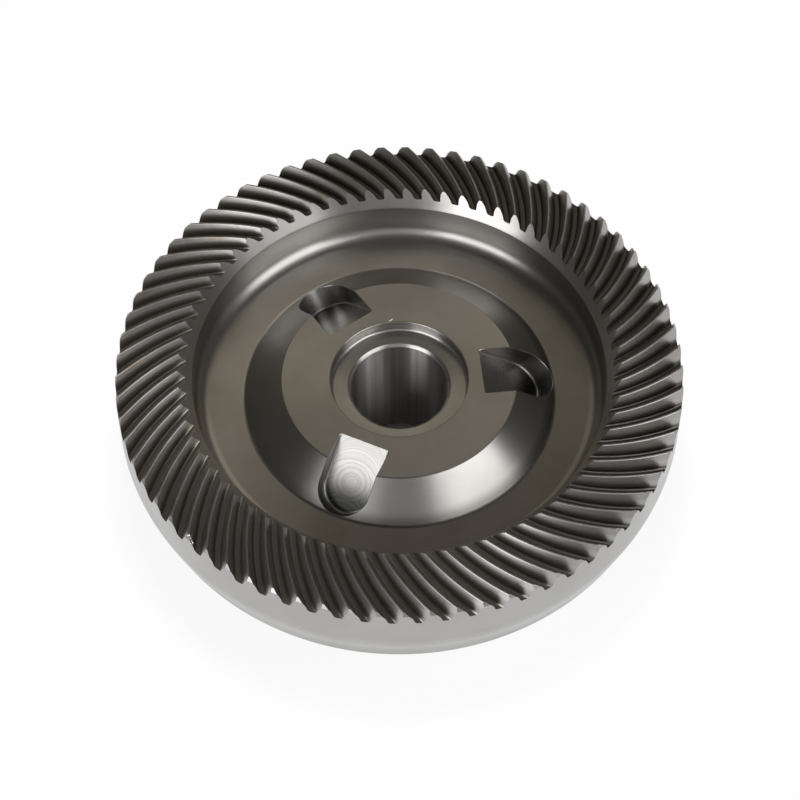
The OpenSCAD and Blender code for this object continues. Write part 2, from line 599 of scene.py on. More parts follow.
@dataclass
class ToothRing:
    """The ring of spiral teeth, modelled as one flat tooth that is wrapped and copied."""

    sizes: GearSizes
    stations: int = 12
    crest_round: float = 0.2 * MM
    round_steps: int = 3
    crest_trim: float = 0.26 * MM
    relief_depth: float = 1.0 * MM
    relief_lean: float = 0.74
    relief_round: float = 2.0 * MM
    heel_foot_drop: float = 0.5 * MM
    toe_foot_drop: float = 2.1 * MM
    columns: int = 4
    toe_rounds: int = 8
    seam_merge: float = 0.002 * MM

    @property
    def length(self) -> float:
        """Length of the bench tooth from toe to heel."""
        return self.sizes.outer_r - self.sizes.toe_tip_r

    @property
    def depth(self) -> float:
        """Height of the bench tooth, that of the middle of the teeth."""
        return self.sizes.tip_z(self.sizes.mean_r) - self.sizes.root_z(self.sizes.mean_r)

    @property
    def half_pitch(self) -> float:
        """Half the width of the bench tooth with its share of the gaps."""
        return self.sizes.pitch * self.sizes.mean_r / 2.0

    def section(self) -> list[Corner]:
        """Draw up the tooth's section.

        Returns:
            Its corners from one gap's middle to the next, as places across and up.
        """
        s = self.sizes
        _, foot, crest, _ = s.across_half_pitch(s.mean_r)
        half, depth = self.half_pitch, self.depth
        relief_z = depth - self.relief_depth
        heel_z = depth - s.heel_chamfer
        toe_z = depth - s.toe_chamfer
        tip = crest + self.crest_trim
        shoulder = tip - self.relief_depth * self.relief_lean

        def flank(z: float) -> float:
            """Place across of the left flank at a height."""
            return between(z, (0.0, relief_z, depth), (foot, shoulder, tip)) - half

        left = [
            Corner(-half, 0.0),
            Corner(foot - half, 0.0, s.gap_corner * s.module_size, self.round_steps),
            Corner(flank(relief_z), relief_z, self.relief_round, self.round_steps),
            Corner(flank(heel_z), heel_z),
            Corner(flank(toe_z), toe_z),
            Corner(flank(depth), depth, self.crest_round, self.round_steps),
        ]
        right = [Corner(-c.r, c.z, c.rounding, c.steps) for c in reversed(left)]
        return left + [Corner(0.0, depth)] + right

    def close_end(self, piece: bpy.types.Object, end_y: float, chamfer: float) -> None:
        """Give one end of the open bench tooth its chamfer, its end face and its foot.

        Args:
            piece: The bench tooth, open in edit mode.
            end_y: Place of the end along the tooth.
            chamfer: Size of the chamfer on the tip.
        """
        sign = 1.0 if end_y > self.length / 2 else -1.0
        corner_z = self.depth - chamfer
        quarter = 2.0 * self.half_pitch / self.columns

        def at_end(e: bmesh.types.BMEdge) -> bool:
            """Say whether an edge bounds the tooth at this end."""
            return e.is_boundary and all(abs(v.co.y - end_y) < chamfer + TINY for v in e.verts)

        pick(piece, Element.VERT, lambda v: abs(v.co.y - end_y) < TINY)
        place_vertices(piece, lambda p: Vector((p.x, end_y - sign * max(0.0, p.z - corner_z), p.z)))
        pick(piece, Element.EDGE, at_end)
        bpy.ops.mesh.extrude_edges_move(TRANSFORM_OT_translate={"value": NO_MOVE})
        place_vertices(piece, lambda p: Vector((p.x, end_y, min(p.z, corner_z))))
        bpy.ops.mesh.select_all(action="SELECT")
        bpy.ops.mesh.remove_doubles(threshold=NEAR)
        pick(piece, Element.EDGE, at_end)
        bpy.ops.mesh.extrude_edges_move(TRANSFORM_OT_translate={"value": NO_MOVE})
        place_vertices(piece, lambda p: Vector((p.x, end_y, -self.heel_foot_drop)))
        self.thin_foot(piece, end_y, quarter)

    def thin_foot(self, piece: bpy.types.Object, end_y: float, quarter: float) -> None:
        """Keep only the evenly spaced columns in the foot of one end.

        Args:
            piece: The bench tooth, open in edit mode.
            end_y: Place of the end along the tooth.
            quarter: Wanted width of a column.
        """
        mesh = bmesh.from_edit_mesh(piece.data)
        foot = [v for v in mesh.verts if abs(v.co.y - end_y) < TINY and v.co.z < -TINY]
        kept: dict[int, float] = {}
        for k in range(self.columns + 1):
            x = -self.half_pitch + k * quarter
            kept[min(foot, key=lambda v: abs(v.co.x - x)).index] = x
        for v in foot:
            v.co.x = kept.get(v.index, v.co.x)
        spare = {v.index for v in foot} - set(kept)
        pick(piece, Element.VERT, lambda v: v.index in spare)
        bpy.ops.mesh.dissolve_verts(use_face_split=False, use_boundary_tear=False)

    def bench_tooth(self) -> bpy.types.Object:
        """Model one tooth flat on the bench, with half a gap on either side.

        Returns:
            The bench tooth, open underneath.
        """
        piece = draw_profile("gear_teeth", self.section())
        step = self.length / self.stations
        with editing(piece):
            for k in range(self.stations):
                pick(piece, Element.EDGE, lambda e: all(abs(v.co.y - k * step) < TINY for v in e.verts))
                bpy.ops.mesh.extrude_edges_move(TRANSFORM_OT_translate={"value": (0.0, step, 0.0)})
            self.close_end(piece, self.length, self.sizes.heel_chamfer)
            self.close_end(piece, 0.0, self.sizes.toe_chamfer)
        return piece

    def wrapped(self, p: Vector) -> Vector:
        """Give the place on the gear of a point of the bench tooth.

        Args:
            p: Point of the bench tooth.

        Returns:
            The same point wrapped round the shaft along the spiral.
        """
        s = self.sizes
        share, rise = p.y / self.length, p.z / self.depth
        if p.z < -TINY:
            z = s.heel_root_z - self.heel_foot_drop if share > 0.5 else s.toe_tip_z - self.toe_foot_drop
            r = s.outer_r if share > 0.5 else s.toe_cone_r(z)
        else:
            toe_r = s.toe_tip_r
            for _ in range(self.toe_rounds):
                toe_r = s.toe_cone_r(s.root_z(toe_r) + rise * (s.tip_z(toe_r) - s.root_z(toe_r)))
            r = toe_r + (s.outer_r - toe_r) * share
            z = s.root_z(r) + rise * (s.tip_z(r) - s.root_z(r))
        offset = between(self.half_pitch - abs(p.x), s.across_half_pitch(s.mean_r), s.across_half_pitch(r))
        turn = math.copysign(s.pitch / 2.0 - offset / r, p.x)
        angle = s.gap_turn + s.pitch / 2.0 + s.gap_angle(r) + turn
        return Vector((r * math.cos(angle), r * math.sin(angle), z))

    def build(self) -> bpy.types.Object:
        """Wrap the bench tooth round the shaft and copy it to every place.

        Returns:
            The ring of teeth, open at its feet.
        """
        piece = self.bench_tooth()
        rise = piece.data.attributes.new(TOOTH_RISE, "FLOAT", "POINT")
        for v in piece.data.vertices:
            rise.data[v.index].value = min(1.0, max(0.0, v.co.z / self.depth))
        with editing(piece):
            place_vertices(piece, self.wrapped, only_picked=False)
            bpy.ops.mesh.select_all(action="SELECT")
            bpy.ops.mesh.spin(steps=self.sizes.teeth - 1, dupli=True, use_auto_merge=False,
                              angle=self.sizes.pitch * (self.sizes.teeth - 1), **SHAFT)
        merge_and_face_out(piece, reach=self.seam_merge)
        return piece


@dataclass
class DrivePockets:
    """The sloping slots that an end mill cut into the hub."""

    sizes: GearSizes
    mill_sides: int = 72
    overrun: float = 1.0 * MM
    floor_round: float = 0.2 * MM
    floor_steps: int = 4
    mouth_round: float = 0.1 * MM
    mouth_steps: int = 2
    mouth_merge: float = 0.16 * MM
    mouth_sharp: float = 0.8

    @property
    def mill_r(self) -> float:
        """Radius of the end mill."""
        return self.sizes.pocket_w / 2.0

    @property
    def path(self) -> float:
        """Length of the mill's path with its run in."""
        return self.sizes.pocket_length - self.mill_r + self.overrun

    @property
    def reach(self) -> float:
        """Height of the space that the mill clears above its floor."""
        return self.sizes.pocket_length * math.tan(self.sizes.pocket_slope)

    def frame(self, index: int) -> Matrix:
        """Give the place of a pocket's own axes on the gear.

        Args:
            index: Which pocket, counted round the shaft.

        Returns:
            Matrix from the mill's axes, with the end of its path as origin, to the gear's.
        """
        s = self.sizes
        turn = s.pocket_turn + FULL_TURN * index / s.pockets
        end = Matrix.Translation((s.pocket_length - self.mill_r, 0.0, 0.0))
        tilt = Matrix.Rotation(s.pocket_slope, 4, "Y")
        start = Matrix.Translation((s.pocket_start, 0.0, s.hub_z))
        return Matrix.Rotation(turn, 4, "Z") @ start @ tilt @ end

    def holds(self, p: Vector) -> bool:
        """Say whether a point lies in or on the space of the mill.

        Args:
            p: The point, in a pocket's own axes.

        Returns:
            Whether the mill passes there.
        """
        across = abs(p.y) if p.x < 0.0 else p.xy.length
        in_path = across < self.mill_r + NEAR and p.x > -self.path - NEAR
        return in_path and -NEAR < p.z < self.reach + NEAR

    def cutter(self, index: int) -> bpy.types.Object:
        """Model the space of one pocket.

        Args:
            index: Which pocket, counted round the shaft.

        Returns:
            The new object, in the pocket's place.
        """
        rest_all()
        bpy.ops.mesh.primitive_cylinder_add(vertices=self.mill_sides, radius=self.mill_r, depth=self.reach,
                                            location=(0.0, 0.0, self.reach / 2.0))
        piece = bpy.context.object
        piece.name = f"pocket_space_{index}"
        bpy.ops.object.transform_apply(location=True, rotation=True, scale=True)
        with editing(piece):
            bpy.ops.mesh.select_all(action="SELECT")
            bpy.ops.mesh.bisect(plane_co=(0.0, 0.0, 0.0), plane_no=(1.0, 0.0, 0.0),
                                use_fill=True, clear_inner=True)
            pick(piece, Element.FACE, lambda f: f.normal.x < -0.9)
            bpy.ops.mesh.extrude_region_move(TRANSFORM_OT_translate={"value": (-self.path, 0.0, 0.0)})
        merge_and_face_out(piece)
        with editing(piece):
            pick(piece, Element.EDGE, lambda e: all(v.co.z < TINY for v in e.verts)
                 and any(f.normal.z > -0.5 for f in e.link_faces))
            bpy.ops.mesh.bevel(offset=self.floor_round, segments=self.floor_steps, profile=0.5,
                               affect="EDGES")
        piece.data.transform(self.frame(index))
        return piece

    def mill(self, gear: bpy.types.Object) -> None:
        """Cut every pocket into the gear, dress it and break the edges of its mouth.

        Args:
            gear: The closed gear without its pockets.
        """
        gear.data.materials.append(bpy.data.materials[Finish.POCKET.value])
        for index in range(self.sizes.pockets):
            cutter = self.cutter(index)
            cutter.data.materials.append(bpy.data.materials[Finish.POCKET.value])
            cut_away(gear, cutter)
        merge_and_face_out(gear)
        self.dress(gear)
        self.break_mouths(gear)

    def dress(self, gear: bpy.types.Object) -> None:
        """Give the pockets their finish, and a map of the mill's path in millimetres.

        Args:
            gear: The gear with its pockets cut.
        """
        slot = gear.data.materials.find(Finish.POCKET.value)
        path = gear.data.uv_layers.new(name=MILL_MAP)
        for index in range(self.sizes.pockets):
            own = self.frame(index).inverted()
            for face in gear.data.polygons:
                if all(self.holds(own @ gear.data.vertices[v].co) for v in face.vertices):
                    face.material_index = slot
                    for loop in face.loop_indices:
                        place = own @ gear.data.vertices[gear.data.loops[loop].vertex_index].co
                        path.data[loop].uv = (place.x / MM, place.y / MM)

    def break_mouths(self, gear: bpy.types.Object) -> None:
        """Take the sharpness off the edges where the pockets break the surface.

        Args:
            gear: The gear with its pockets cut and dressed.
        """
        slot = gear.data.materials.find(Finish.POCKET.value)

        def at_mouth(e: bmesh.types.BMEdge) -> bool:
            """Say whether an edge is a sharp one between a pocket and the surface round it."""
            sides = sum(f.material_index == slot for f in e.link_faces)
            return sides == 1 and e.calc_face_angle() > self.mouth_sharp

        with editing(gear):
            pick(gear, Element.EDGE, at_mouth)
            bpy.ops.mesh.remove_doubles(threshold=self.mouth_merge)
            count = pick(gear, Element.EDGE, at_mouth)
            bpy.ops.mesh.bevel(offset=self.mouth_round, segments=self.mouth_steps, profile=0.5,
                               affect="EDGES", clamp_overlap=False)
            bpy.ops.mesh.region_to_loop()
            bpy.ops.mesh.mark_sharp()
        LOG.info("pocket mouths: %d edges broken", count)


@dataclass(frozen=True)
class Spot:
    """A place on the gear, by its distance from the shaft, its turn round it and its level."""

    r: float
    turn: float
    z: float

    @property
    def place(self) -> Vector:
        """The place as a point."""
        return Vector((self.r * math.cos(self.turn), self.r * math.sin(self.turn), self.z))


@dataclass(frozen=True)
class Score:
    """A row of small dents from one spot to another, each shaped by a ball."""

    start: Spot
    end: Spot
    dents: int
    radius: float

    def middles(self) -> list[Vector]:
        """Give the middles of the balls, evenly spaced."""
        last = max(1, self.dents - 1)
        return [self.start.place.lerp(self.end.place, k / last) for k in range(self.dents)]


@dataclass
class Wear:
    """The dents that handling left: a chipped tooth, a scored lip round the counterbore and specks."""

    sizes: GearSizes
    chip_size: float = 0.25 * MM
    score_size: float = 0.14 * MM
    speck_size: float = 0.13 * MM
    ball_detail: int = 2

    def scores(self) -> list[Score]:
        """Give every row of dents.

        Returns:
            The chips on a tooth's heel, the score on the counterbore's lip and the specks.
        """
        s = self.sizes
        chip_top = Spot(s.outer_r - 0.4 * MM, math.radians(-135.85), s.heel_tip_z - 0.15 * MM)
        chip_foot = Spot(s.outer_r - 0.2 * MM, math.radians(-134.8), s.heel_tip_z - 1.1 * MM)
        lip_start = Spot(s.counterbore_r + 0.3 * MM, math.radians(98.1), s.hub_z)
        lip_end = Spot(s.counterbore_r + 0.57 * MM, math.radians(95.8), s.hub_z)
        on_web = Spot(29.5 * MM, math.radians(-157.6), s.web_z)
        on_wall = Spot(s.outer_r, math.radians(-109.6), s.rear_hub_h + 7.8 * MM)
        return [
            Score(chip_top, chip_foot, 4, self.chip_size),
            Score(lip_start, lip_end, 3, self.score_size),
            Score(on_web, on_web, 1, self.speck_size),
            Score(on_wall, on_wall, 1, self.speck_size),
        ]

    def dent(self, gear: bpy.types.Object) -> None:
        """Press every dent into the gear and leave bare steel in it.

        Args:
            gear: The closed gear with its pockets.
        """
        gear.data.materials.append(bpy.data.materials[Finish.NICK.value])
        for score in self.scores():
            for middle in score.middles():
                self.press(gear, middle, score.radius)
        merge_and_face_out(gear)

    def press(self, gear: bpy.types.Object, middle: Vector, radius: float) -> None:
        """Press one dent into the gear.

        Args:
            gear: The closed gear.
            middle: Middle of the ball that shapes the dent.
            radius: Radius of the ball.
        """
        rest_all()
        bpy.ops.mesh.primitive_ico_sphere_add(subdivisions=self.ball_detail, radius=radius, location=middle)
        ball = bpy.context.object
        bpy.ops.object.transform_apply(location=True, rotation=True, scale=True)
        cut_away(gear, ball)
        slot = gear.data.materials.find(Finish.NICK.value)
        for face in gear.data.polygons:
            corners = (gear.data.vertices[v].co for v in face.vertices)
            if all((corner - middle).length < radius + NEAR for corner in corners):
                face.material_index = slot


@dataclass
class BevelGear:
    """The whole gear: turned body, tooth ring, pockets and wear, made into one closed piece."""

    sizes: GearSizes
    bore_share: float = 0.2
    rim_slack: float = 0.1 * MM
    toe_slack: float = 0.05 * MM
    rim_facing: float = 0.95
    toe_facing: float = -0.6
    flat_facing: float = 0.99999
    smooth_angle: float = math.radians(32.0)
    normal_weight: int = 100

    def build(self) -> bpy.types.Object:
        """Build the forms, join them and finish the piece.

        Returns:
            The closed gear, dressed and smoothed.
        """
        body = TurnedBody(self.sizes).build()
        LOG.info("turned body: %d faces", len(body.data.polygons))
        teeth = ToothRing(self.sizes).build()
        LOG.info("tooth ring: %d faces", len(teeth.data.polygons))
        self.dress_body(body)
        self.dress_teeth(teeth)
        gear = self.join(body, teeth)
        self.report("joined gear", gear)
        DrivePockets(self.sizes).mill(gear)
        self.report("milled gear", gear)
        Wear(self.sizes).dent(gear)
        self.report("worn gear", gear)
        self.smooth(gear)
        return gear

    def report(self, state: str, gear: bpy.types.Object) -> None:
        """Log how many faces and open edges the gear has so far."""
        LOG.info("%s: %d faces, %d open edges", state, len(gear.data.polygons), open_edges(gear))

    def give_slots(self, piece: bpy.types.Object, order: list[Finish]) -> None:
        """Give a piece a material slot for each finish, in order."""
        for finish in order:
            piece.data.materials.append(bpy.data.materials[finish.value])

    def dress_body(self, body: bpy.types.Object) -> None:
        """Give each turned surface its finish by place.

        Args:
            body: The turned body.
        """
        s = self.sizes
        order = [Finish.BODY, Finish.RIM, Finish.BORE, Finish.BACK]
        self.give_slots(body, order)
        for face in body.data.polygons:
            r, z = face.center.xy.length, face.center.z
            if r < s.bore_r + self.bore_share * s.bore_chamfer:
                face.material_index = order.index(Finish.BORE)
            elif z > s.rear_hub_h + s.rim_edge and r > s.outer_r - s.taper_in - s.rim_edge:
                face.material_index = order.index(Finish.RIM)
            elif z < s.rear_hub_h + s.rim_edge:
                face.material_index = order.index(Finish.BACK)

    def dress_teeth(self, teeth: bpy.types.Object) -> None:
        """Give the teeth their cut finish and their end faces the turned ones.

        Args:
            teeth: The ring of teeth.
        """
        s = self.sizes
        order = [Finish.TEETH, Finish.RIM, Finish.BODY]
        self.give_slots(teeth, order)
        for face in teeth.data.polygons:
            r = face.center.xy.length
            outward = face.normal.xy.dot(face.center.xy.normalized())
            if r > s.outer_r - self.rim_slack and outward > self.rim_facing:
                face.material_index = order.index(Finish.RIM)
            elif r < s.toe_cone_r(face.center.z) + self.toe_slack and outward < self.toe_facing:
                face.material_index = order.index(Finish.BODY)

    def join(self, body: bpy.types.Object, teeth: bpy.types.Object) -> bpy.types.Object:
        """Join the tooth ring to the body and close the two seams.

        Args:
            body: The turned body, open under the teeth.
            teeth: The ring of teeth, open at its feet.

        Returns:
            The closed gear.
        """
        s = self.sizes
        take(body, teeth)
        bpy.ops.object.join()
        body.name = "gear_bevel"
        body.data.name = "gear_bevel"
        with editing(body):
            for inner, outer in ((0.0, s.mean_r), (s.mean_r, 2.0 * s.outer_r)):
                pick(body, Element.EDGE,
                     lambda e: e.is_boundary and inner < e.verts[0].co.xy.length < outer)
                bpy.ops.mesh.bridge_edge_loops()
        merge_and_face_out(body)
        return body

    def smooth(self, gear: bpy.types.Object) -> None:
        """Shade the curved surfaces smooth and keep the flats flat.

        Args:
            gear: The closed gear.
        """
        def on_hub_flat(f: bmesh.types.BMFace) -> bool:
            """Say whether a face lies in the hub's flat."""
            return f.normal.z > self.flat_facing and abs(f.verts[0].co.z - self.sizes.hub_z) < TINY

        take(gear)
        bpy.ops.object.shade_smooth_by_angle(angle=self.smooth_angle)
        with editing(gear):
            pick(gear, Element.FACE, on_hub_flat)
            bpy.ops.mesh.region_to_loop()
            bpy.ops.mesh.mark_sharp()
        even = gear.modifiers.new("flat_normals", "WEIGHTED_NORMAL")
        even.keep_sharp = True
        even.weight = self.normal_weight
        bpy.ops.object.modifier_apply(modifier=even.name)


# Finishes

@dataclass(frozen=True)
class Side:
    """One side of the gear, by its direction and by where along that it starts and ends."""

    along_x: float
    along_y: float
    start: float
    end: float


class NodeBench:
    """A place to wire up the nodes of one material."""

    def __init__(self, material: bpy.types.Material) -> None:
        """Open a material's node tree.

        Args:
            material: The material, which gets nodes if it has none.
        """
        material.use_nodes = True
        self.nodes = material.node_tree.nodes
        self.links = material.node_tree.links
        self.shader = self.nodes["Principled BSDF"]

    def feed(self, socket: Socket, value: Value) -> None:
        """Link a socket into another, or set the other to a plain value.

        Args:
            socket: The input to feed.
            value: An output to link, or a number or colour to set.
        """
        if isinstance(value, Socket):
            self.links.new(value, socket)
        else:
            socket.default_value = value

    def math(self, operation: str, *values: Value) -> Socket:
        """Do one sum on numbers.

        Args:
            operation: Name of the math node's operation.
            values: Its inputs in order.

        Returns:
            The output of the sum.
        """
        node = self.nodes.new("ShaderNodeMath")
        node.operation = operation
        for socket, value in zip(node.inputs, values):
            self.feed(socket, value)
        return node.outputs[0]

    def length(self, a: Socket, b: Socket) -> Socket:
        """Give the length of a line from its two legs."""
        return self.math("SQRT", self.math("ADD", self.math("MULTIPLY", a, a), self.math("MULTIPLY", b, b)))

    def spread(self, value: Value, low: float, high: float, to_low: float = 0.0,
               to_high: float = 1.0) -> Socket:
        """Stretch a range of numbers smoothly over another.

        Args:
            value: The number to stretch.
            low: Where the first range starts.
            high: Where it ends.
            to_low: What low becomes.
            to_high: What high becomes.

        Returns:
            The stretched number, held inside the second range.
        """
        node = self.nodes.new("ShaderNodeMapRange")
        node.interpolation_type = "SMOOTHSTEP"
        for name, v in (("Value", value), ("From Min", low), ("From Max", high),
                        ("To Min", to_low), ("To Max", to_high)):
            self.feed(node.inputs[name], v)
        return node.outputs["Result"]

    def side(self, x: Socket, y: Socket, side: Side) -> Socket:
        """Say how far a place lies over to one side of the gear.

        Args:
            x: Its distance along X.
            y: Its distance along Y.
            side: The side.

        Returns:
            A number that rises from nought at the side's start to one at its end.
        """
        along = self.math("ADD", self.math("MULTIPLY", x, side.along_x),
                          self.math("MULTIPLY", y, side.along_y))
        return self.spread(along, side.start, side.end)

    def noise(self, vector: Value, scale: float, detail: float = 3.0) -> Socket:
        """Make noise over a volume.

        Args:
            vector: Where to read the noise.
            scale: How many lumps there are in a metre.
            detail: How many finer layers are added.

        Returns:
            The noise, around a half.
        """
        node = self.nodes.new("ShaderNodeTexNoise")
        self.feed(node.inputs["Vector"], vector)
        node.inputs["Scale"].default_value = scale
        node.inputs["Detail"].default_value = detail
        return node.outputs[0]

    def lines(self, place: Value, scale: float, detail: float = 2.0) -> Socket:
        """Make uneven lines along one number.

        Args:
            place: The number that the lines follow.
            scale: How many lines there are in one unit.
            detail: How many finer layers are added.

        Returns:
            The lines, around a half.
        """
        node = self.nodes.new("ShaderNodeTexNoise")
        node.noise_dimensions = "1D"
        self.feed(node.inputs["W"], place)
        node.inputs["Scale"].default_value = scale
        node.inputs["Detail"].default_value = detail
        return node.outputs[0]

    def blend(self, share: Value, first: Value, second: Value, mode: str = "MIX") -> Socket:
        """Mix two colours.

        Args:
            share: How much of the second colour is used.
            first: The first colour.
            second: The second colour.
            mode: How the second is laid over the first.

        Returns:
            The mixed colour.
        """
        node = self.nodes.new("ShaderNodeMix")
        node.data_type = "RGBA"
        node.blend_type = mode
        self.feed(node.inputs["Factor"], share)
        self.feed(node.inputs[6], first if isinstance(first, Socket) else (*first, 1.0))
        self.feed(node.inputs[7], second if isinstance(second, Socket) else (*second, 1.0))
        return node.outputs[2]

    def grey(self, value: Value) -> Socket:
        """Turn a number into a grey.

        Args:
            value: The number.

        Returns:
            The grey as a colour.
        """
        node = self.nodes.new("ShaderNodeCombineColor")
        for socket in node.inputs:
            self.feed(socket, value)
        return node.outputs[0]

    def bump(self, height: Value, strength: float, depth: float) -> None:
        """Raise the surface a little by a height.

        Args:
            height: The height, from nought to one.
            strength: How strongly it shows.
            depth: Size of a height of one, in metres.
        """
        node = self.nodes.new("ShaderNodeBump")
        node.inputs["Strength"].default_value = strength
        node.inputs["Distance"].default_value = depth
        self.feed(node.inputs["Height"], height)
        self.feed(self.shader.inputs["Normal"], node.outputs[0])

    def places(self) -> tuple[Socket, Socket, Socket, Socket]:
        """Read the place on the piece.

        Returns:
            The place as a whole, and its distances along X, Y and Z.
        """
        place = self.nodes.new("ShaderNodeTexCoord").outputs["Object"]
        apart = self.nodes.new("ShaderNodeSeparateXYZ")
        self.feed(apart.inputs[0], place)
        return place, apart.outputs[0], apart.outputs[1], apart.outputs[2]

    def round_shaft(self) -> Socket:
        """Give the direction round the shaft.

        Returns:
            The direction, for the shader's tangent.
        """
        node = self.nodes.new("ShaderNodeTangent")
        node.direction_type = "RADIAL"
        node.axis = "Z"
        return node.outputs[0]

    def along_path(self) -> tuple[Socket, Socket]:
        """Read the place on a mill's path.

        Returns:
            The place along and across the path, in millimetres.
        """
        path = self.nodes.new("ShaderNodeUVMap")
        path.uv_map = MILL_MAP
        apart = self.nodes.new("ShaderNodeSeparateXYZ")
        self.feed(apart.inputs[0], path.outputs[0])
        return apart.outputs[0], apart.outputs[1]

    def attribute(self, name: str) -> Socket:
        """Read a number that the mesh carries.

        Args:
            name: Name of the mesh's attribute.

        Returns:
            The number.
        """
        node = self.nodes.new("ShaderNodeAttribute")
        node.attribute_name = name
        return node.outputs["Fac"]


class Marks(Enum):
    """Kind of marks that a tool left on a surface."""

    TURNED = "turned"
    HONED = "honed"
    MILLED = "milled"
    CUT = "cut"


@dataclass(frozen=True)
class MillMarks:
    """Places and strengths of the marks on a mill's path and of the painted shade in the pocket, in
    millimetres.
    """

    arc_square: float = 18.0
    arc_scale: float = 2.4
    swirl_back: float = 0.8
    swirl_edge: float = 2.95
    edge_soft: float = 0.1
    rim_depth: float = 0.5
    floor_edge: float = 3.7
    # Painted shade in the pocket: the floor darkens towards the end of the path, and the walls are
    # darkened.
    pocket_shade_start: float = -3.8
    pocket_shade_end: float = 2.2
    wall_pocket_shade: float = 0.32


@dataclass(frozen=True)
class ShadeAndRust:
    """Colours and places of the shade painted on the steel (on the web, at the wall's foot, in the tooth
    gaps and in the pockets) and of the rust, in metres and in shares of a tooth's height.
    """

    # Painted shade on the web's near right side, below the levels given.
    web_shade_tone: Tone = (0.06, 0.055, 0.045)
    web_shade_side: Side = Side(0.8, -0.6, -16.0 * MM, 14.0 * MM)
    web_shade_full_z: float = 20.4 * MM
    web_shade_end_z: float = 21.6 * MM
    # Painted shade at the foot of the outer wall fades out between these levels.
    foot_shade_low_z: float = 13.0 * MM
    foot_shade_high_z: float = 18.5 * MM
    # Painted shade towards the bottoms of the tooth gaps.
    gap_shade_tone: Tone = (0.35, 0.33, 0.3)
    # Painted shade in the gap bottoms on one side of the gear.
    gap_bottom_shade_tone: Tone = (0.09, 0.085, 0.08)
    gap_bottom_shade_share: float = 0.88
    gap_bottom_shade_full: float = 0.06
    gap_bottom_shade_end: float = 0.3
    gap_shade_side: Side = Side(0.8, 0.6, -18.0 * MM, 14.0 * MM)
    # Tone of the painted shade in the pockets.
    pocket_shade_tone: Tone = (0.05, 0.05, 0.045)
    rust_tone: Tone = (0.32, 0.23, 0.155)
    rust_scale: float = 260.0
    rust_share: float = 0.6
    rust_side: Side = Side(-1.0, 0.4, 0.0, 30.0 * MM)


